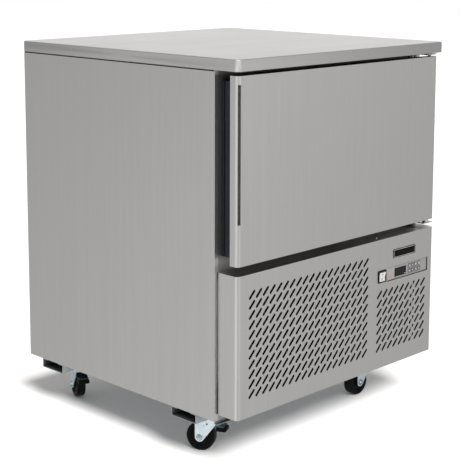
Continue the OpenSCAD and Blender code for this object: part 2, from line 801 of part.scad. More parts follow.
module control_fascia() {
    color("lightgray") difference() {
        union() {
            upright(door_y + sheet, fascia_y - door_y - sheet + fascia_t) translate([fascia_x, control_z])
                square([fascia_w + 2 * fascia_rim, fascia_h + 2 * fascia_rim], center = true);
            upright(fascia_y, case_d) translate([fascia_x, control_z]) square([case_w, case_h], center = true);
        }
        upright(door_y, fascia_y - door_y) translate([fascia_x, control_z])
            square([fascia_w, fascia_h], center = true);
        upright(fascia_y - eps, 1 + eps) translate([display_x, display_z])
            square([display_w + 2 * seat, display_h + 2 * seat], center = true);
        for (i = [0 : 7]) upright(fascia_y - eps, eps + key_t - key_out + key_travel + seat)
            translate(key_spot(i)) square([key_w + 2 * seat, key_h + 2 * seat], center = true);
    }
}

module display_window() {
    color([0.07, 0.07, 0.08]) upright(fascia_y - 0.2, 1.2) translate([display_x, display_z])
        square([display_w, display_h], center = true);
}

// four keys in each of two rows, counted from the upper left
function key_spot(i) = [key_x0 + (i % 4) * key_step, key_z0 - floor(i / 4) * key_step];

module key(i) {
    color("dimgray") upright(fascia_y - key_out, key_t) translate(key_spot(i))
        round_rect(key_w, key_h, 1.5);
}

module key_1() { key(0); }
module key_2() { key(1); }
module key_3() { key(2); }
module key_4() { key(3); }
module key_5() { key(4); }
module key_6() { key(5); }
module key_7() { key(6); }
module key_8() { key(7); }

module switch_housing() {
    color([0.06, 0.06, 0.06]) difference() {
        union() {
            upright(door_y - switch_rim, switch_rim) translate([switch_x, control_z])
                round_rect(switch_w, switch_w, 1.5);
            upright(door_y, switch_d) translate([switch_x, control_z])
                square([switch_w - 6, switch_w - 4], center = true);
        }
        upright(door_y - switch_rim - eps, switch_rim + 22 + eps) translate([switch_x, control_z])
            square([rocker_w + 2 * seat, rocker_h + 2 * seat], center = true);
        translate([switch_x, rocker_y, control_z]) rotate([0, 90, 0])
            cylinder(h = switch_w - 7, d = 3 + 2 * run, center = true);
    }
}

// a barrel with two flats that meet at the pivot's height, at rest tipped to its off side
module switch_rocker() {
    color("whitesmoke") translate([switch_x, rocker_y, control_z]) rotate([rocker_tip / 2, 0, 0]) {
        rotate([0, 90, 0]) cylinder(h = switch_w - 7.4, d = 3, center = true);
        rotate([0, 90, 0]) linear_extrude(rocker_w, center = true)
            polygon([[-12.6, -9], [0, -7], [12.6, -9], [12.6, -5], [5, 8], [-5, 8], [-12.6, -5]]);
    }
}

// ---------- hinges ----------

module hinge_bracket(plate_z, leg_down) {
    leg_z0 = leg_down ? plate_z + hinge_t - hinge_leg_h : plate_z;
    difference() {
        union() {
            slab(hinge_plate_x0, hinge_plate_x1, pin_y - 9, frame_y - sheet - seat, plate_z, plate_z + hinge_t);
            slab(hinge_plate_x0, hinge_leg_x1, pin_y, frame_y, plate_z, plate_z + hinge_t);
            slab(hinge_plate_x0, hinge_leg_x1, frame_y - hinge_t, frame_y, leg_z0, leg_z0 + hinge_leg_h);
        }
        frame_screws() cylinder(h = 12, d = screw_d + 2 * run, center = true);
    }
}

module hinge_top() {
    color("silver") {
        hinge_bracket(top_plate_z, true);
        translate([pin_x, pin_y, door_z1 - pin_grip]) cylinder(h = top_plate_z - door_z1 + pin_grip, d = pin_d);
    }
}

module hinge_bottom() {
    color("silver") {
        hinge_bracket(bottom_plate_z, false);
        translate([pin_x, pin_y, bottom_plate_z + hinge_t])
            cylinder(h = door_z0 + pin_grip - bottom_plate_z - hinge_t, d = pin_d);
        translate([pin_x, pin_y, bottom_plate_z + hinge_t])
            cylinder(h = door_z0 - seat - bottom_plate_z - hinge_t, d = bush_d);
    }
}

module pin_holes(d) {
    for (z = [door_z0, door_z1]) translate([pin_x, pin_y, z])
        cylinder(h = 2 * (pin_grip + seat), d = d, center = true);
}

// ---------- door ----------

// the corner cut that the grip channel fills
module grip_plan(r) {
    translate([grip_x, grip_y]) {
        circle(r);
        lip_wedge();
    }
}

module lip_wedge() {
    reach = 2 * grip_r;
    polygon([[0, 0], for (a = [lip_from, (lip_from + lip_to) / 2, lip_to]) reach * [cos(a), sin(a)]]);
}

module door_skin() {
    color("silver") difference() {
        union() {
            difference() {
                translate([0, door_y, door_z0]) linear_extrude(door_h) front_plan(door_w, skin_d, corner_r);
                translate([0, door_y + sheet, door_z0 + sheet]) linear_extrude(door_h - 2 * sheet)
                    front_plan(door_w - 2 * sheet, skin_d, corner_r - sheet);
            }
            // hinge bushes
            for (z = [door_z0, door_z1 - pin_grip - 2]) translate([pin_x, pin_y, z])
                cylinder(h = pin_grip + 2, d = bush_d);
        }
        translate([0, 0, grip_z0]) linear_extrude(grip_len) grip_plan(grip_r);
        pin_holes(pin_d + 2 * run);
    }
}

module door_grip() {
    color("gray") translate([0, 0, grip_z0]) {
        linear_extrude(grip_len) translate([grip_x, grip_y]) difference() {
            circle(grip_r);
            circle(grip_r - grip_t);
            lip_wedge();
        }
        // ends that close the slot flush with the skin
        for (z = [0, grip_len - grip_t]) translate([0, 0, z]) linear_extrude(grip_t) intersection() {
            grip_plan(grip_r);
            translate([0, door_y]) front_plan(door_w, skin_d, corner_r);
        }
    }
}

module door_core() {
    color("khaki") difference() {
        union() {
            translate([0, door_y + sheet, door_z0 + sheet]) linear_extrude(door_h - 2 * sheet)
                front_plan(door_w - 2 * sheet, skin_d - sheet, corner_r - sheet);
            slab(-mouth_x, mouth_x, skin_y1, breaker_y1 - sheet, mouth_z0, mouth_z1);
        }
        translate([0, 0, grip_z0]) linear_extrude(grip_len) grip_plan(grip_r);
        for (z = [door_z0, door_z1]) translate([pin_x, pin_y, z])
            cylinder(h = 2 * (pin_grip + 2), d = bush_d, center = true);
    }
}

module door_breaker() {
    color([0.16, 0.18, 0.2]) difference() {
        slab(-seal_x, seal_x, skin_y1, breaker_y1, seal_z0, seal_z1);
        slab(-mouth_x, mouth_x, skin_y1 - eps, breaker_y1 + eps, mouth_z0, mouth_z1);
    }
}

module door_liner() {
    color("silver") slab(-mouth_x, mouth_x, breaker_y1 - sheet, breaker_y1, mouth_z0, mouth_z1);
}

module door_gasket() {
    color([0.16, 0.18, 0.2]) difference() {
        slab(-seal_x, seal_x, breaker_y1, breaker_y1 + gasket_d, seal_z0, seal_z1);
        slab(-mouth_x, mouth_x, breaker_y1 - eps, frame_y, mouth_z0, mouth_z1);
        // bellows fold round the outside
        difference() {
            slab(-seal_x - eps, seal_x + eps, breaker_y1 + 5, breaker_y1 + 9, seal_z0 - eps, seal_z1 + eps);
            slab(-seal_x + 4, seal_x - 4, breaker_y1 + 4, breaker_y1 + 10, seal_z0 + 4, seal_z1 - 4);
        }
    }
}

// ---------- castors: built with the swivel on the Z axis and the wheel trailing towards +X ----------

module place_castor(i) {
    side = i % 2 == 0 ? -1 : 1;
    translate([side * castor_x, castor_y[floor(i / 2)], 0]) rotate([0, 0, castor_turn[i]]) children();
}

module castor_plates() {
    z0 = castor_h - castor_plate_t;
    king_z0 = crown_z0 - seat - king_head;
    color("lightsteelblue") for (x = [-1, 1], y = castor_y) translate([x * castor_x, y, 0]) {
        difference() {
            translate([0, 0, z0]) linear_extrude(castor_plate_t) round_rect(plate_lx, plate_ly, 5);
            translate([0, 0, castor_h]) castor_bolts() cylinder(h = 12, d = bolt_d + 2 * run, center = true);
        }
        translate([0, 0, z0 - 11]) cylinder(h = 11, d1 = race_d - 10, d2 = race_d - 6);
        translate([0, 0, king_z0]) cylinder(h = z0 - king_z0, d = king_d);
        translate([0, 0, king_z0]) cylinder(h = king_head, d = king_d + 6);
    }
}

// side view of a fork leg: round at the axle, wide at the crown
module leg_plan() {
    r = axle_d / 2 + 8;
    translate([trail, wheel_r]) circle(r);
    polygon([[trail - r * 0.8, wheel_r - r * 0.6], [trail + r, wheel_r], [trail + r, crown_z1], [-22, crown_z1],
        [-22, crown_z1 - 8]]);
}

module castor_fork(i) {
    color("lightsteelblue") place_castor(i) {
        difference() {
            union() {
                for (s = [-1, 1]) translate([0, s * (leg_y + fork_t / 2) + fork_t / 2, 0]) rotate([90, 0, 0])
                    linear_extrude(fork_t) leg_plan();
                slab(-22, trail + axle_d / 2 + 8, -leg_y, leg_y, crown_z0, crown_z1);
                translate([0, 0, crown_z0]) cylinder(h = fork_t, d = race_d);
                translate([0, 0, crown_z1]) cylinder(h = 4.7, d = race_d);
            }
            translate([0, 0, crown_z0 - eps]) cylinder(h = 20, d = king_d + 2 * run);
            translate([lever_pivot[0], 0, lever_pivot[1]]) rotate([90, 0, 0])
                cylinder(h = 4 * leg_y, d = lever_pin + 2 * run, center = true);
            translate([trail, 0, wheel_r]) rotate([90, 0, 0]) cylinder(h = 4 * leg_y, d = axle_d, center = true);
        }
        // axle bolt with its head and nut
        translate([trail, 0, wheel_r]) rotate([90, 0, 0]) {
            cylinder(h = 2 * (leg_y + fork_t), d = axle_d, center = true);
            for (s = [-1, 1]) translate([0, 0, s * (leg_y + fork_t + 2.5)])
                cylinder(h = 5, d = nut_w, center = true, $fn = 6);
        }
    }
}

module castor_wheel(i) {
    bore_r = axle_d / 2 + run;
    color([0.08, 0.08, 0.08]) place_castor(i) translate([trail, 0, wheel_r]) rotate([90, 0, 0])
        rotate_extrude($fn = 72) difference() {
            union() {
                translate([bore_r, -wheel_w / 2]) square([wheel_r - tread_r - bore_r, wheel_w]);
                translate([bore_r, -wheel_w / 2 + tread_r]) square([wheel_r - bore_r, wheel_w - 2 * tread_r]);
                for (s = [-1, 1]) translate([wheel_r - tread_r, s * (wheel_w / 2 - tread_r)]) circle(tread_r);
                translate([bore_r, -leg_y + seat]) square([4, 2 * (leg_y - seat)]);
            }
            // dished web between hub and rim
            for (s = [-1, 1]) translate([19, s * (wheel_w / 2)]) square([13, 8], center = true);
        }
}

// lever on a cross pin in the fork; its pad stands clear of the tread until it is pressed
module castor_brake(i) {
    px = lever_pivot[0];
    pz = lever_pivot[1];
    from_axle = wheel_r + shoe_gap;
    tip = [trail - from_axle * 0.75, wheel_r + from_axle * 0.66];
    w = leg_y - 3;
    color("darkslategray") place_castor(i) {
        translate([px, 0, pz]) rotate([90, 0, 0]) cylinder(h = 2 * (leg_y + fork_t), d = lever_pin, center = true);
        difference() {
            rotate([90, 0, 0]) linear_extrude(2 * w, center = true)
                polygon([[px + 3, pz + 3], [px - 5, pz + 4], [-38, pz - 4], [-38, pz - 7], [-20, pz - 6],
                    [tip[0] - 5, tip[1]], tip, [px + 3, pz - 2]]);
            translate([trail, 0, wheel_r]) rotate([90, 0, 0])
                cylinder(h = 4 * w, r = from_axle, center = true);
        }
        // pedal pad
        slab(-40, -18, -w, w, pz - 16, pz - 8);
        slab(-38, -22, -w, w, pz - 10, pz - 6);
    }
}

worktop();
side_panel_left();
side_panel_right();
back_panel();
front_frame();
chamber_liner();
cabinet_insulation();
base_pan();
base_channels();
tray_racks();
evaporator_coil();
evaporator_cowl();
evaporator_fan_motor();
evaporator_fan();
drain_pipe();
drip_tray();
condenser_coil();
condenser_fan_motor();
condenser_fan();
compressor();
liquid_receiver();
refrigerant_pipes();
electrical_box();
mains_gland();
cabinet_screws();
grille_panel();
name_plate();
control_fascia();
display_window();
key_1();
key_2();
key_3();
key_4();
key_5();
key_6();
key_7();
key_8();
switch_housing();
switch_rocker();
hinge_top();
hinge_bottom();
door_skin();
door_core();
door_liner();
door_breaker();
door_gasket();
door_grip();
castor_plates();
castor_fork(0);  // castor_fork_fl
castor_fork(1);  // castor_fork_fr
castor_fork(2);  // castor_fork_rl
castor_fork(3);  // castor_fork_rr
castor_wheel(0);  // castor_wheel_fl
castor_wheel(1);  // castor_wheel_fr
castor_wheel(2);  // castor_wheel_rl
castor_wheel(3);  // castor_wheel_rr
castor_brake(0);  // castor_brake_fl
castor_brake(1);  // castor_brake_fr
castor_brake(2);  // castor_brake_rl
castor_brake(3);  // castor_brake_rr
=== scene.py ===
import json
import math

import bmesh
import bpy
from mathutils import Matrix, Vector

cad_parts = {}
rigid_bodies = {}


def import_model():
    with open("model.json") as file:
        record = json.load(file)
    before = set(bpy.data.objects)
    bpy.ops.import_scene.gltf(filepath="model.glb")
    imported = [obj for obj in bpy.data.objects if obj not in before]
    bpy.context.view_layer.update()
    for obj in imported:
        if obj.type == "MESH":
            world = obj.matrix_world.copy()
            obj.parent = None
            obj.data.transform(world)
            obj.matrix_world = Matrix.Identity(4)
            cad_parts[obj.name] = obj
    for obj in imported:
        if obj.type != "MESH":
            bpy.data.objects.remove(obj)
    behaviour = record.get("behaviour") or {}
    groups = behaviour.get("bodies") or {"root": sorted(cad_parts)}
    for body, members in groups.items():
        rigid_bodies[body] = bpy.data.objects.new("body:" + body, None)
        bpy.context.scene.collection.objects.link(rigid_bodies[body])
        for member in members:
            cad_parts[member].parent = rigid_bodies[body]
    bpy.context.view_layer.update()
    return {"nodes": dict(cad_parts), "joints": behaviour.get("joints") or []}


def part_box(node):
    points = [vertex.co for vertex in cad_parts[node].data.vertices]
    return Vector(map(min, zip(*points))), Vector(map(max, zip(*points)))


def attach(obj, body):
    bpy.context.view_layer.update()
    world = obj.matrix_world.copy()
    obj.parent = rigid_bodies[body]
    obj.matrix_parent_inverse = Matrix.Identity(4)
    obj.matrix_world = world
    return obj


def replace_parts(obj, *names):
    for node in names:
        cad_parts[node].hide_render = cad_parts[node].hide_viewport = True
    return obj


# Undercounter blast chiller on castors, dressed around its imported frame. Metres; front is -Y, hinge side is +X.
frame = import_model()
nodes = frame["nodes"]
joints = {joint["name"]: joint for joint in frame["joints"]}
keys = [f"key_{i}" for i in range(1, 9)]
mm = 0.001
corners = ("fl", "fr", "rl", "rr")
print("frame loaded:", len(nodes), "nodes")

# ---- camera ----

camera = {
    "place": (-2.4531, -2.3989, 1.2658),   # metres from the middle of the cabinet's foot
    "yaw": 45.519,                         # degrees, clockwise from +Y
    "pitch": 8.602,                         # degrees below level
    "roll": 0.130,
    "lens": 99.105,
    "sensor": 36.0,
    "shift": -0.2021,                      # down the picture, in picture widths
}


def addCamera():
    yaw, pitch, roll = (math.radians(camera[key]) for key in ("yaw", "pitch", "roll"))
    ahead = Vector((math.sin(yaw) * math.cos(pitch), math.cos(yaw) * math.cos(pitch), -math.sin(pitch)))
    right = Vector((math.cos(yaw), -math.sin(yaw), 0))
    up = right.cross(ahead)
    across = math.cos(roll) * right + math.sin(roll) * up
    upward = -math.sin(roll) * right + math.cos(roll) * up
    data = bpy.data.cameras.new("camera")
    data.lens = camera["lens"]
    data.sensor_width = camera["sensor"]
    data.shift_y = camera["shift"]
    data.clip_end = 60
    seen = bpy.data.objects.new("camera", data)
    seen.matrix_world = Matrix((across, upward, -ahead)).transposed().to_4x4()
    seen.location = camera["place"]
    bpy.context.scene.collection.objects.link(seen)
    bpy.context.scene.camera = seen


addCamera()
print("camera set")

# ---- meshes ----


def addPiece(name, bm, material, body, sharp=35):
    bmesh.ops.recalc_face_normals(bm, faces=bm.faces)
    mesh = bpy.data.meshes.new(name)
    bm.to_mesh(mesh)
    bm.free()
    mesh.materials.append(material)
    mesh.shade_smooth()
    mesh.set_sharp_from_angle(angle=math.radians(sharp))
    piece = bpy.data.objects.new(name, mesh)
    bpy.context.scene.collection.objects.link(piece)
    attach(piece, body)
    return piece


def roundedPlan(width, depth, radius, steps=8):
    # corner points of a rectangle with round corners, anticlockwise
    points = []
    for quarter, (sx, sy) in enumerate(((1, 1), (-1, 1), (-1, -1), (1, -1))):
        for i in range(steps + 1):
            angle = math.pi / 2 * (quarter + i / steps)
            points.append((sx * (width / 2 - radius) + radius * math.cos(angle),
                           sy * (depth / 2 - radius) + radius * math.sin(angle)))
    return points


def loft(bm, loops, capped=True):
    # joins closed loops of equal length with quads, and closes both ends if capped
    rings = [[bm.verts.new(point) for point in loop] for loop in loops]
    count = len(rings[0])
    for low, high in zip(rings, rings[1:]):
        for i in range(count):
            j = (i + 1) % count
            bm.faces.new((low[i], low[j], high[j], high[i]))
    if capped:
        bm.faces.new(rings[0])
        bm.faces.new(rings[-1])


def lathe(bm, profile, place, axis, steps=72):
    # turns (radius, height) points round an axis; the profile is a closed loop
    turn = Vector((0, 0, 1)).rotation_difference(Vector(axis)).to_matrix()
    rings = []
    for i in range(steps):
        angle = 2 * math.pi * i / steps
        rings.append([bm.verts.new(Vector(place) + turn @ Vector((r * math.cos(angle), r * math.sin(angle), h)))
                      for r, h in profile])
    for i in range(steps):
        this, after = rings[i], rings[(i + 1) % steps]
        for k in range(len(profile)):
            m = (k + 1) % len(profile)
            bm.faces.new((this[k], this[m], after[m], after[k]))


def roundBlock(bm, low, high, edge, segments=3):
    # box with rounded edges
    made = bmesh.ops.create_cube(bm, size=1)
    size = Vector(high) - Vector(low)
    middle = (Vector(high) + Vector(low)) / 2
    for vert in made["verts"]:
        vert.co = Vector(vert.co[i] * size[i] for i in range(3)) + middle
    edges = list({e for v in made["verts"] for e in v.link_edges})
    bmesh.ops.bevel(bm, geom=edges, offset=edge, segments=segments, profile=0.5, affect="EDGES")


def turned(bm, sections, count=24):
    # stack of round or six-sided sections, given as (radius, height)
    loft(bm, [[(r * math.cos(2 * math.pi * i / count), r * math.sin(2 * math.pi * i / count), h)
               for i in range(count)] for r, h in sections])


def merge(bm, part):
    # adds one mesh under construction to another
    loose = bpy.data.meshes.new("loose")
    part.to_mesh(loose)
    part.free()
    bm.from_mesh(loose)
    bpy.data.meshes.remove(loose)


def prism(bm, outline, front, thick):
    # flat shape that stands out of a face at y = front; outline holds (x, z) points
    loft(bm, [[(x, y, z) for x, z in outline] for y in (front + 0.02 * mm, front - thick)])


def strokeOutline(start, end, width):
    # bar from start to end, half its width longer at both ends
    start, end = Vector(start), Vector(end)
    along = (end - start).normalized() * width / 2
    side = Vector((-along.y, along.x))
    return [start - along + side, start - along - side, end + along - side, end + along + side]


def ringOutline(bm, centre, radius, width, front, thick, span=(0, 360), steps=20):
    # flat ring or arc; span is its start and end in degrees
    points = [math.radians(span[0] + (span[1] - span[0]) * i / steps) for i in range(steps + 1)]
    for a, b in zip(points, points[1:]):
        prism(bm, [(centre[0] + r * math.cos(t), centre[1] + r * math.sin(t))
                   for r, t in ((radius, a), (radius + width, a), (radius + width, b), (radius, b))], front, thick)


# ---- materials ----


def newMaterial(name, **sockets):
    material = bpy.data.materials.new(name)
    material.use_nodes = True
    shader = material.node_tree.nodes["Principled BSDF"]
    for label, value in sockets.items():
        shader.inputs[label.replace("_", " ")].default_value = value
    return material, material.node_tree, shader


def noise(tree, stretch, detail=2.0):
    # noise on the object's own coordinates; stretch is its scale per metre along each axis
    place = tree.nodes.new("ShaderNodeTexCoord")
    mapping = tree.nodes.new("ShaderNodeMapping")
    mapping.inputs["Scale"].default_value = stretch
    texture = tree.nodes.new("ShaderNodeTexNoise")
    texture.inputs["Scale"].default_value = 1
    texture.inputs["Detail"].default_value = detail
    tree.links.new(place.outputs["Object"], mapping.inputs["Vector"])
    tree.links.new(mapping.outputs["Vector"], texture.inputs["Vector"])
    return texture.outputs["Fac"]


def ranged(tree, value, low, high, fromLow=0.3, fromHigh=0.7):
    node = tree.nodes.new("ShaderNodeMapRange")
    for label, number in (("From Min", fromLow), ("From Max", fromHigh), ("To Min", low), ("To Max", high)):
        node.inputs[label].default_value = number
    tree.links.new(value, node.inputs["Value"])
    return node.outputs["Result"]


def average(tree, first, second, share):
    node = tree.nodes.new("ShaderNodeMix")
    node.inputs["Factor"].default_value = share
    tree.links.new(first, node.inputs["A"])
    tree.links.new(second, node.inputs["B"])
    return node.outputs["Result"]


def between(tree, factor, first, second):
    # mixes two colours, each of them a tone or another node's output
    node = tree.nodes.new("ShaderNodeMix")
    node.data_type = "RGBA"
    for label, colour in (("A", first), ("B", second)):
        if isinstance(colour, tuple):
            node.inputs[label].default_value = (*colour, 1)
        else:
            tree.links.new(colour, node.inputs[label])
    tree.links.new(factor, node.inputs["Factor"])
    return node.outputs["Result"]


def product(tree, first, second):
    node = tree.nodes.new("ShaderNodeMath")
    node.operation = "MULTIPLY"
    tree.links.new(first, node.inputs[0])
    tree.links.new(second, node.inputs[1])
    return node.outputs["Value"]


def bumped(tree, shader, height, distance):
    node = tree.nodes.new("ShaderNodeBump")
    node.inputs["Strength"].default_value = 1
    node.inputs["Distance"].default_value = distance
    tree.links.new(height, node.inputs["Height"])
    tree.links.new(node.outputs["Normal"], shader.inputs["Normal"])


def scaled(colour, factor):
    return tuple(min(1.0, c * factor) for c in colour)


def paintedGapShade(tree, colour, reach=45 * mm):
    # painted shade: ambient occlusion darkens the colour in narrow gaps
    hollow = tree.nodes.new("ShaderNodeAmbientOcclusion")
    hollow.samples = 8
    hollow.inputs["Distance"].default_value = reach
    return between(tree, ranged(tree, hollow.outputs["AO"], 0, 1, 0.05, 0.6), (0, 0, 0), colour)


# along each brushing axis: scale of the fine lines, scale of the broad streaks, axis of the tangent
grains = {
    "x": ((4, 420, 420), (1.5, 45, 45), "X"),
    "z": ((420, 420, 4), (45, 45, 1.5), "Z"),
}


def brushedSteel(name, colour, grain, rough=0.36, contrast=0.05, aniso=0.55):
    # fine brush lines along one axis, broad streaks, and cloudy handling marks in the roughness
    fineScale, broadScale, turnAxis = grains[grain]
    material, tree, shader = newMaterial(name, Metallic=1.0, Anisotropic=aniso, IOR=2.5)
    lines = average(tree, noise(tree, fineScale, 3), noise(tree, broadScale, 2), 0.4)
    clouds = noise(tree, (5, 5, 4), 4)
    tone = average(tree, lines, clouds, 0.3)
    brushed = between(tree, ranged(tree, tone, 0, 1), scaled(colour, 1 - contrast), scaled(colour, 1 + contrast))
    # painted shade: the steel's colour goes darker in narrow gaps
    tree.links.new(paintedGapShade(tree, brushed), shader.inputs["Base Color"])
    tree.links.new(ranged(tree, tone, rough + 0.05, rough - 0.05), shader.inputs["Roughness"])
    bumped(tree, shader, lines, 0.00004)
    tangent = tree.nodes.new("ShaderNodeTangent")
    tangent.direction_type = "RADIAL"
    tangent.axis = turnAxis
    tree.links.new(tangent.outputs["Tangent"], shader.inputs["Tangent"])
    return material


def platedSteel(name, colour, rough=0.34, spread=0.08, metal=0.9, paintedShadeInGaps=False):
    # plated or painted metal: soft blotches, and painted shade that darkens narrow gaps where asked
    material, tree, shader = newMaterial(name, Metallic=metal)
    blotches = noise(tree, (90, 90, 90), 4)
    tone = between(tree, ranged(tree, blotches, 0, 1), scaled(colour, 1 - spread), scaled(colour, 1 + spread))
    tree.links.new(paintedGapShade(tree, tone) if paintedShadeInGaps else tone, shader.inputs["Base Color"])
    tree.links.new(ranged(tree, blotches, rough + 0.08, rough - 0.06), shader.inputs["Roughness"])
    bumped(tree, shader, noise(tree, (700, 700, 700), 2), 0.00004)
    return material


def spangled(name, colour):
    # galvanised sheet: flat crystals a few millimetres across
    material, tree, shader = newMaterial(name, Metallic=0.85)
    place = tree.nodes.new("ShaderNodeTexCoord")
    cells = tree.nodes.new("ShaderNodeTexVoronoi")
    cells.inputs["Scale"].default_value = 120
    tree.links.new(place.outputs["Object"], cells.inputs["Vector"])
    split = tree.nodes.new("ShaderNodeSeparateColor")
    tree.links.new(cells.outputs["Color"], split.inputs["Color"])
    crystals = between(tree, split.outputs["Red"], scaled(colour, 0.85), scaled(colour, 1.1))
    # painted shade: the galvanised colour goes darker in narrow gaps, such as inside the base channels
    tree.links.new(paintedGapShade(tree, crystals), shader.inputs["Base Color"])
    tree.links.new(ranged(tree, split.outputs["Green"], 0.34, 0.5, 0, 1), shader.inputs["Roughness"])
    return material


def moulded(name, colour, rough=0.5, mottle=0.1, bump=0.00006, coat=0.0, shine=0.5):
    # plastic, rubber or paint with a fine moulded skin
    material, tree, shader = newMaterial(name, Coat_Weight=coat, Specular_IOR_Level=shine)
    skin = noise(tree, (900, 900, 900), 2)
    patches = noise(tree, (25, 25, 25), 3)
    tree.links.new(between(tree, ranged(tree, patches, 0, 1), scaled(colour, 1 - mottle), scaled(colour, 1 + mottle)),
                   shader.inputs["Base Color"])
    tree.links.new(ranged(tree, average(tree, skin, patches, 0.5), rough + 0.07, rough - 0.07),
                   shader.inputs["Roughness"])
    bumped(tree, shader, skin, bump)
    return material


def drawnCopper(name, colour):
    material, tree, shader = newMaterial(name, Metallic=1.0)
    tarnish = noise(tree, (30, 30, 18), 4)
    tree.links.new(between(tree, ranged(tree, tarnish, 0, 1), scaled(colour, 0.6), scaled(colour, 1.1)),
                   shader.inputs["Base Color"])
    tree.links.new(ranged(tree, tarnish, 0.5, 0.28), shader.inputs["Roughness"])
    return material


def within(tree, value, low, high, blur=0.2 * mm):
    # 1 between low and high, 0 outside
    rise = ranged(tree, value, 0, 1, low - blur, low + blur)
    fall = ranged(tree, value, 1, 0, high - blur, high + blur)
    return product(tree, rise, fall)


def printedFascia(name):
    # controller face: a black band round it as painted shade at the recess edge, blank label at the left, keypad at
    # the right
    low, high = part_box("control_fascia")
    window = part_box("display_window")
    pads = [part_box(key) for key in keys]
    left, right = low.x + fascia["rim"], high.x - fascia["rim"]
    foot, top = low.z + fascia["rim"], high.z - fascia["rim"]
    seal, around = fascia["seal"], fascia["keypadMargin"]
    zones = (
        ("fasciaLabel", left, window[0].x - fascia["labelGap"], foot, top),
        ("keypad", min(a.x for a, b in pads) - around, max(b.x for a, b in pads) + around,
         min(a.z for a, b in pads) - around, max(b.z for a, b in pads) + around),
    )
    material, tree, shader = newMaterial(name)
    place = tree.nodes.new("ShaderNodeTexCoord")
    split = tree.nodes.new("ShaderNodeSeparateXYZ")
    tree.links.new(place.outputs["Object"], split.inputs["Vector"])
    patches = noise(tree, (60, 60, 60), 3)
    tone = between(tree, patches, scaled(tones["fascia"], 0.95), scaled(tones["fascia"], 1.05))
    for zone, x0, x1, z0, z1 in zones + (("seal", left + seal, right - seal, foot + seal, top - seal),):
        inside = product(tree, within(tree, split.outputs["X"], x0, x1), within(tree, split.outputs["Z"], z0, z1))
        # outside the inner rectangle the face is black: painted shade at the recess edge
        if zone == "seal":
            tone = between(tree, inside, tones["black"], tone)
        else:
            tone = between(tree, inside, tone, tones[zone])
    tree.links.new(tone, shader.inputs["Base Color"])
    tree.links.new(ranged(tree, patches, 0.5, 0.36), shader.inputs["Roughness"])
    bumped(tree, shader, noise(tree, (900, 900, 900), 2), 0.00003)
    return material


fascia = {
    "rim": 4 * mm,             # part of the plate that lies behind the panel
    # width of the black band round the fascia's edge: painted shade of the recess
    "seal": 1.3 * mm,
    "keypadMargin": 3 * mm,
    "labelGap": 4 * mm,
}
tones = {
    "steel": (0.600, 0.594, 0.583),
    # dark copy of the steel for the recessed grip: painted shade
    "grip": (0.20, 0.195, 0.19),
    # darker copy of the steel for the front frame: painted shade of the door over it
    "frame": (0.36, 0.352, 0.34),
    "inner": (0.52, 0.52, 0.515),
    "galvanised": (0.42, 0.45, 0.46),
    "fins": (0.50, 0.52, 0.53),
    "zinc": (0.62, 0.70, 0.73),
    "brake": (0.045, 0.075, 0.088),
    "bright": (0.66, 0.66, 0.65),
    "nut": (0.42, 0.50, 0.53),
    "foam": (0.62, 0.52, 0.22),
    "copper": (0.66, 0.33, 0.19),
    "blackPaintAndShade": (0.006, 0.006, 0.006),
    "fan": (0.008, 0.008, 0.009),
    "pale": (0.56, 0.56, 0.54),
    "black": (0.005, 0.005, 0.005),
    "fascia": (0.30, 0.295, 0.29),
    "fasciaLabel": (0.37, 0.345, 0.33),
    "keypad": (0.20, 0.20, 0.20),
    "display": (0.004, 0.004, 0.005),
    "segment": (0.022, 0.024, 0.027),
    "print": (0.68, 0.69, 0.70),
    "key": (0.10, 0.10, 0.103),
    "rocker": (0.70, 0.70, 0.68),
    "gasket": (0.012, 0.015, 0.020),
    "tread": (0.004, 0.004, 0.004),
}
finish = {
    "worktop": brushedSteel("worktopSteel", tones["steel"], "x", rough=0.42, contrast=0.03),
    "side": brushedSteel("sideSteel", tones["steel"], "z"),
    "front": brushedSteel("frontSteel", tones["steel"], "z"),
    # the grip's dark, mostly matt steel is painted shade of the groove
    "grip": platedSteel("gripSteelPaintedShade", tones["grip"], 0.55, metal=0.2),
    "frame": brushedSteel("frameSteelPaintedShade", tones["frame"], "z", rough=0.45),
    "inner": brushedSteel("innerSteel", tones["inner"], "x", rough=0.3, contrast=0.03),
    "galvanised": spangled("galvanisedSheet", tones["galvanised"]),
    "fins": platedSteel("finAluminium", tones["fins"], 0.4),
    "zinc": platedSteel("zincPlate", tones["zinc"]),
    "brake": platedSteel("pedalPlate", tones["brake"], 0.4, 0.15),
    # hinges and screws take painted shade in their gaps
    "bright": platedSteel("brightSteel", tones["bright"], 0.25, paintedShadeInGaps=True),
    "nut": platedSteel("nutPlate", tones["nut"], 0.22, 0.3),
    "foam": moulded("foam", tones["foam"], 0.9, 0.15),
    "copper": drawnCopper("copperPipe", tones["copper"]),
    "blackPaintAndShade": moulded("blackPaintAndShade", tones["blackPaintAndShade"], 0.45, shine=0.12),
    "fan": moulded("fanPlastic", tones["fan"], 0.5, shine=0.2),
    "pale": moulded("palePlastic", tones["pale"], 0.5, 0.04),
    "black": moulded("blackPlastic", tones["black"], 0.42, shine=0.12),
    "fascia": printedFascia("fasciaPlastic"),
    "display": moulded("displayWindow", tones["display"], 0.25, 0.05, 0.0, 0.25, shine=0.2),
    "segment": moulded("displaySegment", tones["segment"], 0.4, 0.05, shine=0.2),
    "print": moulded("paleInk", tones["print"], 0.5, 0.04),
    "plate": moulded("plateEnamel", tones["black"], 0.35, 0.05, shine=0.06),
    "key": moulded("keyPlastic", tones["key"], 0.5, 0.05),
    "rocker": moulded("rockerPlastic", tones["rocker"], 0.35, 0.03),
    "gasket": moulded("gasketRubber", tones["gasket"], 0.5, shine=0.3),
    "tread": moulded("wheelRubber", tones["tread"], 0.45, 0.3, shine=0.07),
}
print("materials made:", len(finish))

# ---- frame nodes: finish and rounded edges ----

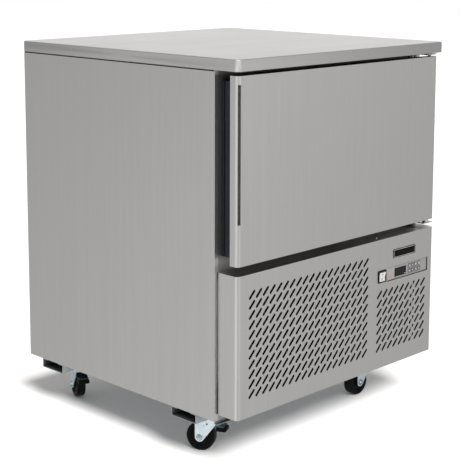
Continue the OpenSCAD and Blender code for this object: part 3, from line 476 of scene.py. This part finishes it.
nodeFinish = {
    "side": ("side_panel_left", "side_panel_right", "back_panel"),
    "front": ("door_skin", "grille_panel"),
    "grip": ("door_grip",),
    "frame": ("front_frame",),
    "inner": ("chamber_liner", "tray_racks", "evaporator_cowl", "door_liner"),
    "foam": ("cabinet_insulation", "door_core"),
    "galvanised": ("base_pan", "base_channels", "drip_tray"),
    "fins": ("evaporator_coil",),
    # black on condenser_coil and electrical_box is painted shade behind the grille slots; on the condenser it is also
    # a real black coating
    "blackPaintAndShade": ("condenser_coil", "evaporator_fan_motor", "condenser_fan_motor", "compressor", "liquid_receiver",
                   "electrical_box"),
    "fan": ("evaporator_fan", "condenser_fan"),
    "copper": ("refrigerant_pipes",),
    "pale": ("drain_pipe",),
    "black": ("mains_gland", "name_plate", "switch_housing"),
    "bright": ("cabinet_screws", "hinge_top", "hinge_bottom"),
    "fascia": ("control_fascia",),
    "display": ("display_window",),
    "key": tuple(keys),
    "rocker": ("switch_rocker",),
    "gasket": ("door_breaker", "door_gasket"),
    "zinc": ("castor_plates",) + tuple(f"castor_fork_{c}" for c in corners),
    "tread": tuple(f"castor_wheel_{c}" for c in corners),
    "brake": tuple(f"castor_brake_{c}" for c in corners),
    "worktop": ("worktop",),
}
edgeRounds = {
    "thin": 0.25 * mm,     # sheet metal, cut edges
    "plate": 0.7 * mm,     # castor forks and brackets
    "plastic": 0.5 * mm,
}
rounding = {
    "weld": 0.002 * mm,    # points nearer than this are joined
    "angle": 40,           # degrees; flatter edges stay as they are
    "segments": 2,
}
edgeOf = {name: "plate" for c in corners for name in (f"castor_fork_{c}", f"castor_brake_{c}")}
edgeOf.update({name: "plate" for name in ("hinge_top", "hinge_bottom", "castor_plates")})
edgeOf.update({name: "thin" for name in ("side_panel_left", "side_panel_right", "door_skin", "grille_panel",
                                         "door_grip", "front_frame", "base_pan", "control_fascia", "tray_racks",
                                         "cabinet_screws")})
edgeOf.update({name: "plastic" for name in ("switch_housing", "switch_rocker", "door_gasket", "base_channels")})
edgeOf.update({key: "plastic" for key in keys})


def roundEdges(node, width):
    weld = node.modifiers.new("weld", "WELD")
    weld.merge_threshold = rounding["weld"]
    bevel = node.modifiers.new("edges", "BEVEL")
    bevel.width = width
    bevel.segments = rounding["segments"]
    bevel.angle_limit = math.radians(rounding["angle"])
    bevel.harden_normals = False
    normals = node.modifiers.new("normals", "WEIGHTED_NORMAL")
    normals.keep_sharp = False


for finishName, names in nodeFinish.items():
    for name in names:
        node = nodes[name]
        node.data.materials.clear()
        node.data.materials.append(finish[finishName])
        if name in edgeOf:
            roundEdges(node, edgeRounds[edgeOf[name]])
print("nodes finished")

# ---- worktop ----

worktop = {
    "corner": 12 * mm,     # radius in plan, as in the source
    "edge": 3 * mm,        # radius of the folded upper edge
    "lip": 18 * mm,        # width of the fold underneath
    "fold": 1 * mm,        # radius of the lower fold
    "steps": 6,            # facets round the upper edge
}


def addWorktop():
    low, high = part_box("worktop")
    width, depth = high.x - low.x, high.y - low.y
    profile = [(worktop["lip"], low.z), (worktop["fold"], low.z), (0, low.z + worktop["fold"])]
    for i in range(worktop["steps"] + 1):
        angle = math.pi / 2 * i / worktop["steps"]
        profile.append((worktop["edge"] * (1 - math.cos(angle)),
                        high.z - worktop["edge"] * (1 - math.sin(angle))))
    loops = []
    for inset, z in profile:
        radius = max(worktop["corner"] - inset, 1 * mm)
        loops.append([(x, y, z) for x, y in roundedPlan(width - 2 * inset, depth - 2 * inset, radius)])
    bm = bmesh.new()
    loft(bm, loops)
    piece = addPiece("worktopShell", bm, finish["worktop"], "cabinet")
    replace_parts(piece, "worktop")


addWorktop()
print("worktop built")

# ---- door ----

door = {
    "lip": 0.6 * mm,       # folded edge that closes the skin's back
    "rim": 0.4 * mm,       # how far it stays inside the skin's outline
    "round": 0.15 * mm,
}


def addDoorReturn():
    # folded edge between the skin's rim and the breaker, over the foam
    low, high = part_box("door_skin")
    inLow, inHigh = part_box("door_breaker")
    y0 = inLow.y
    y1 = y0 + door["lip"]
    x0, x1 = low.x + door["rim"], high.x - door["rim"]
    z0, z1 = low.z + door["rim"], high.z - door["rim"]
    bm = bmesh.new()
    for barLow, barHigh in (((x0, z0), (x1, inLow.z)), ((x0, inHigh.z), (x1, z1)),
                            ((x0, inLow.z), (inLow.x, inHigh.z)), ((inHigh.x, inLow.z), (x1, inHigh.z))):
        roundBlock(bm, (barLow[0], y0, barLow[1]), (barHigh[0], y1, barHigh[1]), door["round"], 1)
    addPiece("doorReturn", bm, finish["inner"], "door")


addDoorReturn()
print("door return built")

# ---- castors ----

castor = {
    "tyre": 3 * mm,        # round of the tyre's shoulders
    "crown": 0.2 * mm,     # how much the tread rises to its middle
    "facets": 5,           # round each shoulder
    "half": 12.5 * mm,     # half the tyre's width
    "bore": 4.4 * mm,
    "hub": 8.2 * mm,
    "hubHalf": 16.2 * mm,
    "hubBevel": 0.8 * mm,
    "hubFoot": ((0, -0.4 * mm), (0.6 * mm, 0.2 * mm)),    # out from the hub, in from the tyre's side
    "dish": (13 * mm, 25 * mm),                           # the web's two radii
    "dishEdge": ((1.4 * mm, 0.2 * mm), (0.4 * mm, 0.9 * mm), (-0.6 * mm, 3.5 * mm), (-1.6 * mm, 4 * mm)),
    "groove": 29.6 * mm,                                  # radius of the ring between rim and tyre
    "grooveEdge": ((-0.5 * mm, 0.2 * mm), (0, 1 * mm), (0.6 * mm, 1 * mm), (1.1 * mm, 0.1 * mm)),
    # washer, nut and bolt end: radius, foot, top, bevel inward and down, sides
    "stack": ((8.6 * mm, 0, 1.2 * mm, 0.4 * mm, 0.3 * mm, 32),
              (6.9 * mm, 1.2 * mm, 5.4 * mm, 0.9 * mm, 0.8 * mm, 6),
              (4 * mm, 5.4 * mm, 7.6 * mm, 0.6 * mm, 0.6 * mm, 24)),
    "legOut": 19 * mm,     # from the wheel's middle to the outside of a fork leg
    "padPlan": (-44 * mm, -17 * mm, 15.5 * mm),    # its two ends along the trail, and half its width
    "padHeight": (55.5 * mm, 66.4 * mm),           # above the floor
    "padRound": 3 * mm,
}


def axle(corner):
    # wheel's middle and its axis
    roll = joints[f"castor_roll_{corner}"]
    return Vector(roll["pos_m"]), Vector(roll["axis"]).normalized()


def addWheel(corner):
    wheel, axis = axle(corner)
    low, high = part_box(f"castor_wheel_{corner}")
    radius = (high.z - low.z) / 2
    half, hub, hubHalf, bevel = (castor[key] for key in ("half", "hub", "hubHalf", "hubBevel"))
    inner, outer = castor["dish"]
    shoulder = castor["tyre"]
    side = [(castor["bore"], hubHalf), (hub - bevel, hubHalf), (hub, hubHalf - bevel)]
    side += [(hub + out, half - down) for out, down in castor["hubFoot"]]
    side += [(inner - out, half - down) for out, down in castor["dishEdge"]]
    side += [(outer + out, half - down) for out, down in reversed(castor["dishEdge"])]
    side += [(castor["groove"] + out, half - down) for out, down in castor["grooveEdge"]]
    for i in range(castor["facets"] + 1):
        angle = math.pi / 2 * i / castor["facets"]
        side.append((radius - shoulder + (shoulder - castor["crown"]) * math.sin(angle),
                     half - shoulder + shoulder * math.cos(angle)))
    profile = side + [(radius, 0)] + [(r, -h) for r, h in reversed(side)]
    bm = bmesh.new()
    lathe(bm, profile, wheel, axis)
    piece = addPiece(f"wheel_{corner}", bm, finish["tread"], f"castor_wheel_{corner}", 25)
    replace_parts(piece, f"castor_wheel_{corner}")


def addAxleNuts(corner):
    wheel, axis = axle(corner)
    bm = bmesh.new()
    for side in (1, -1):
        part = bmesh.new()
        for radius, foot, top, inward, down, sides in castor["stack"]:
            turned(part, [(radius, foot), (radius, top - down), (radius - inward, top)], sides)
        turn = Vector((0, 0, 1)).rotation_difference(axis * side).to_matrix().to_4x4()
        part.transform(Matrix.Translation(wheel + axis * side * castor["legOut"]) @ turn)
        merge(bm, part)
    addPiece(f"axleNuts_{corner}", bm, finish["nut"], f"castor_fork_{corner}")


def addPedalPad(corner):
    pivot = Vector(joints[f"castor_swivel_{corner}"]["pos_m"])
    trail = axle(corner)[0] - pivot
    trail = Vector((trail.x, trail.y, 0)).normalized()
    back, front, half = castor["padPlan"]
    low, high = castor["padHeight"]
    bm = bmesh.new()
    roundBlock(bm, (back, -half, low), (front, half, high), castor["padRound"])
    across = Vector((-trail.y, trail.x, 0))
    bm.transform(Matrix.Translation((pivot.x, pivot.y, 0)) @
                 Matrix((trail, across, (0, 0, 1))).transposed().to_4x4())
    addPiece(f"pedalPad_{corner}", bm, finish["tread"], f"castor_brake_{corner}")


for corner in corners:
    addWheel(corner)
    addAxleNuts(corner)
    addPedalPad(corner)
print("castors built")

# ---- controls ----

controls = {
    "ink": 0.15 * mm,              # how far printed marks stand out
    "stroke": 1.3 * mm,
    "markHalf": 3 * mm,            # half the size of a key's mark
    "digits": 3,
    "digitInk": 0.09 * mm,
    "digitStroke": 1.6 * mm,
    "digit": (9 * mm, 14 * mm),    # width and height
    "digitStep": 13.5 * mm,
    "lamp": (4 * mm, 2 * mm),
    "lampInset": (3 * mm, 2 * mm),     # from the window's right end and foot
    "lampOut": (0.2 * mm, 0.1 * mm),   # in front of the window's face and behind it
    "lampRound": 0.12 * mm,
    "rockerTilt": 7.0,             # degrees
    "rockerHalf": 6.3 * mm,        # from the pivot to the middle of each half
    "rockerFront": 8 * mm,         # from the pivot to the face
    "rockerRise": 2 * mm,          # of each half toward its end
    "rockerBar": (2.4 * mm, 1.1 * mm),     # half length and width
    "rockerRing": (1.9 * mm, 1 * mm),      # inner radius and width
}
# one generic mark for each key, on a unit square: bars (x0, z0, x1, z1), outlines, and rings (radius, from, to)
keyMarks = (
    {"bars": ((0, 0.2, 0, 1),), "rings": ((0.62, 130, 410),)},
    {"outlines": (((-0.8, -0.6), (0.8, -0.6), (0, 0.9)),)},
    {"bars": ((-0.8, 0.6, 0.8, 0.6), (-0.8, 0, 0.8, 0), (-0.8, -0.6, 0.8, -0.6))},
    {"bars": ((0, 0, 0, 0.5), (0, 0, 0.4, 0)), "rings": ((0.72, 0, 360),)},
    {"outlines": (((-0.7, -0.7), (0.7, -0.7), (0.7, 0.7), (-0.7, 0.7)),)},
    {"outlines": (((0.8, 0.6), (-0.8, 0.6), (0, -0.9)),)},
    {"bars": ((-0.9, 0, 0.9, 0), (-0.45, -0.78, 0.45, 0.78), (0.45, -0.78, -0.45, 0.78))},
    {"outlines": (((-0.6, 0.8), (-0.6, -0.8), (0.8, 0)),)},
)


def addKeyMarks():
    half, stroke = controls["markHalf"], controls["stroke"]
    for key, mark in zip(keys, keyMarks):
        low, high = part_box(key)
        x, z = (low.x + high.x) / 2, (low.z + high.z) / 2
        bm = bmesh.new()
        for x0, z0, x1, z1 in mark.get("bars", ()):
            outline = strokeOutline((x + x0 * half, z + z0 * half), (x + x1 * half, z + z1 * half), stroke)
            prism(bm, outline, low.y, controls["ink"])
        for outline in mark.get("outlines", ()):
            prism(bm, [(x + px * half, z + pz * half) for px, pz in outline], low.y, controls["ink"])
        for radius, start, end in mark.get("rings", ()):
            ringOutline(bm, (x, z), radius * half, stroke, low.y, controls["ink"], (start, end))
        addPiece(f"{key}_mark", bm, finish["print"], key)


def addDisplay():
    low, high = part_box("display_window")
    wide, tall = controls["digit"]
    stroke, ink = controls["digitStroke"], controls["digitInk"]
    middle, z = (low.x + high.x) / 2, (low.z + high.z) / 2
    bm = bmesh.new()
    for i in range(controls["digits"]):
        x = middle + (i - (controls["digits"] - 1) / 2) * controls["digitStep"]
        right, top = wide / 2 - stroke / 2, tall / 2 - stroke / 2
        bars = [((x - right + stroke, z + end * top), (x + right - stroke, z + end * top)) for end in (-1, 0, 1)]
        bars += [((x + side * right, z + end * stroke), (x + side * right, z + end * (top - stroke)))
                 for side in (-1, 1) for end in (-1, 1)]
        for start, end in bars:
            prism(bm, strokeOutline(start, end, stroke), low.y, ink)
    addPiece("displayDigits", bm, finish["segment"], "cabinet")
    bm = bmesh.new()
    (lampWide, lampTall), (inX, inZ), (ahead, behind) = (controls[key] for key in ("lamp", "lampInset", "lampOut"))
    roundBlock(bm, (high.x - inX - lampWide, low.y - ahead, low.z + inZ),
               (high.x - inX, low.y + behind, low.z + inZ + lampTall), controls["lampRound"])
    addPiece("displayLamp", bm, finish["print"], "cabinet")


def addRockerMarks():
    # a bar on the upper half and a ring on the lower half, turned with the tilted rocker
    pivot = Vector(joints["switch_rock"]["pos_m"])
    half, front, rise = (controls[key] for key in ("rockerHalf", "rockerFront", "rockerRise"))
    barHalf, barWidth = controls["rockerBar"]
    bm = bmesh.new()
    for side in (1, -1):
        part = bmesh.new()
        if side > 0:
            prism(part, strokeOutline((0, -barHalf), (0, barHalf), barWidth), 0, controls["ink"])
        else:
            ringOutline(part, (0, 0), *controls["rockerRing"], 0, controls["ink"])
        lean = math.atan2(rise, 2 * half) * side
        middle = Vector((0, -front, side * half))
        part.transform(Matrix.Translation(pivot) @ Matrix.Rotation(math.radians(controls["rockerTilt"]), 4, "X") @
                       Matrix.Translation(middle) @ Matrix.Rotation(lean, 4, "X"))
        merge(bm, part)
    addPiece("rockerMarks", bm, finish["black"], "switch_rocker")


plate = {
    "corner": 3 * mm,
    "taper": 0.6,          # how fast the corner's radius falls as the outline goes in
    # outlines: how far in from the edge, how far behind the front
    "rim": ((0, 0.5 * mm), (0.5 * mm, 0), (1.2 * mm, 0), (1.5 * mm, 0.4 * mm)),
    "line": ((1.7 * mm, 0.42 * mm), (1.7 * mm, 0.25 * mm), (2.7 * mm, 0.25 * mm), (2.7 * mm, 0.42 * mm)),
}


def addNamePlate():
    # bare face inside a raised rim and a pale line
    low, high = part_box("name_plate")
    width, tall = high.x - low.x, high.z - low.z
    x, z = (low.x + high.x) / 2, (low.z + high.z) / 2

    def ring(inset, y):
        outline = roundedPlan(width - 2 * inset, tall - 2 * inset, plate["corner"] - inset * plate["taper"])
        return [(x + px, y, z + pz) for px, pz in outline]

    bm = bmesh.new()
    loft(bm, [ring(0, high.y)] + [ring(inset, low.y + behind) for inset, behind in plate["rim"]])
    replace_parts(addPiece("namePlate", bm, finish["plate"], "cabinet"), "name_plate")
    bm = bmesh.new()
    loft(bm, [ring(inset, low.y + behind) for inset, behind in plate["line"]], capped=False)
    addPiece("namePlateLine", bm, finish["pale"], "cabinet")


addKeyMarks()
addDisplay()
addRockerMarks()
addNamePlate()
print("controls built")

# ---- stage ----

studio = {
    "floorSize": 30.0,
    "floorTone": (0.93, 0.917, 0.908),
    "floorGlow": 0.03,         # keeps the shadow under the cabinet grey
    "floorSun": (-0.285, -0.706, 0.648),
    "floorPower": 4.3,
    "floorSpread": 18.0,        # degrees
    "keySun": (-0.45, -0.60, 0.66),
    "keyPower": 1.6,
    "keySpread": 60.0,
    "ambient": 0.38,
    "reflected": 0.35,          # what steel reflects away from the spots
}
# what the steel reflects: direction and half width in degrees, gain
reflections = {
    "backdrop": (44, 14, 60, 0.78),
    "behindCamera": (-134, 5, 84, 0.27),
    "leftFloor": (174, -26, 56, 0.58),
    "frontLeft": (-70, 6, 40, 0.66),
    "frontFloor": (-54, -40, 34, 0.34),
}


def addStageMaterial():
    # paper floor that reflects nothing into the steel, so that the steel shows the backdrop alone
    material, tree, shader = newMaterial("floorPaper", Roughness=0.9)
    shader.inputs["Base Color"].default_value = (*studio["floorTone"], 1)
    shader.inputs["Emission Color"].default_value = (1, 1, 1, 1)
    light = tree.nodes.new("ShaderNodeLightPath")
    glow = tree.nodes.new("ShaderNodeMath")
    glow.operation = "MULTIPLY"
    glow.inputs[1].default_value = studio["floorGlow"]
    tree.links.new(light.outputs["Is Camera Ray"], glow.inputs[0])
    tree.links.new(glow.outputs["Value"], shader.inputs["Emission Strength"])
    clear = tree.nodes.new("ShaderNodeBsdfTransparent")
    both = tree.nodes.new("ShaderNodeMixShader")
    tree.links.new(light.outputs["Is Glossy Ray"], both.inputs["Fac"])
    tree.links.new(shader.outputs["BSDF"], both.inputs[1])
    tree.links.new(clear.outputs["BSDF"], both.inputs[2])
    tree.links.new(both.outputs["Shader"], tree.nodes["Material Output"].inputs["Surface"])
    return material


def addFloor():
    bm = bmesh.new()
    half = studio["floorSize"] / 2
    bm.faces.new([bm.verts.new((x * half, y * half, 0)) for x, y in ((-1, -1), (1, -1), (1, 1), (-1, 1))])
    mesh = bpy.data.meshes.new("floor")
    bm.to_mesh(mesh)
    bm.free()
    mesh.materials.append(addStageMaterial())
    floor = bpy.data.objects.new("floor", mesh)
    bpy.context.scene.collection.objects.link(floor)
    return floor


def direction(azimuth, elevation):
    azimuth, elevation = math.radians(azimuth), math.radians(elevation)
    return (math.cos(azimuth) * math.cos(elevation), math.sin(azimuth) * math.cos(elevation), math.sin(elevation))


def addWorld():
    # white to the camera, even to matt surfaces, soft boxes to the steel
    world = bpy.data.worlds.new("studio")
    world.use_nodes = True
    bpy.context.scene.world = world
    tree = world.node_tree
    background = tree.nodes["Background"]
    place = tree.nodes.new("ShaderNodeTexCoord")
    total = None
    for azimuth, elevation, width, gain in reflections.values():
        dot = tree.nodes.new("ShaderNodeVectorMath")
        dot.operation = "DOT_PRODUCT"
        dot.inputs[1].default_value = direction(azimuth, elevation)
        tree.links.new(place.outputs["Generated"], dot.inputs[0])
        spot = tree.nodes.new("ShaderNodeMapRange")
        spot.interpolation_type = "SMOOTHSTEP"
        spot.inputs["From Min"].default_value = math.cos(math.radians(width))
        spot.inputs["To Max"].default_value = gain
        tree.links.new(dot.outputs["Value"], spot.inputs["Value"])
        add = tree.nodes.new("ShaderNodeMath")
        add.inputs[1].default_value = studio["reflected"]
        tree.links.new(spot.outputs["Result"], add.inputs[0])
        if total:
            tree.links.new(total, add.inputs[1])
        total = add.outputs["Value"]
    light = tree.nodes.new("ShaderNodeLightPath")
    glossy = tree.nodes.new("ShaderNodeMix")
    glossy.inputs["A"].default_value = studio["ambient"]
    seen = tree.nodes.new("ShaderNodeMix")
    seen.inputs["B"].default_value = 1.0
    tree.links.new(light.outputs["Is Glossy Ray"], glossy.inputs["Factor"])
    tree.links.new(total, glossy.inputs["B"])
    tree.links.new(light.outputs["Is Camera Ray"], seen.inputs["Factor"])
    tree.links.new(glossy.outputs["Result"], seen.inputs["A"])
    tree.links.new(seen.outputs["Result"], background.inputs["Strength"])
    background.inputs["Color"].default_value = (1, 1, 1, 1)


def addSun(name, receivers, blockers=()):
    # a sun that lights the receivers alone; where blockers are given, nothing else throws its shadow
    data = bpy.data.lights.new(name, "SUN")
    data.energy = studio[name + "Power"]
    data.angle = math.radians(studio[name + "Spread"])
    lamp = bpy.data.objects.new(name, data)
    lamp.rotation_euler = (-Vector(studio[name + "Sun"])).to_track_quat("-Z", "Y").to_euler()
    bpy.context.scene.collection.objects.link(lamp)
    group = bpy.data.collections.new(name + "Receivers")
    for receiver in receivers:
        group.objects.link(receiver)
    lamp.light_linking.receiver_collection = group
    if blockers:
        group = bpy.data.collections.new(name + "Blockers")
        for blocker in blockers:
            group.objects.link(blocker)
        lamp.light_linking.blocker_collection = group


addSun("key", [thing for thing in bpy.context.scene.objects if thing.type == "MESH"])
addSun("floor", [addFloor()], [thing for thing in bpy.context.scene.objects
                               if thing.name.startswith(("base_", "castor_", "grille_panel", "wheel_", "pedalPad_"))])
addWorld()
bpy.context.scene.view_settings.view_transform = "Standard"
print("stage set")
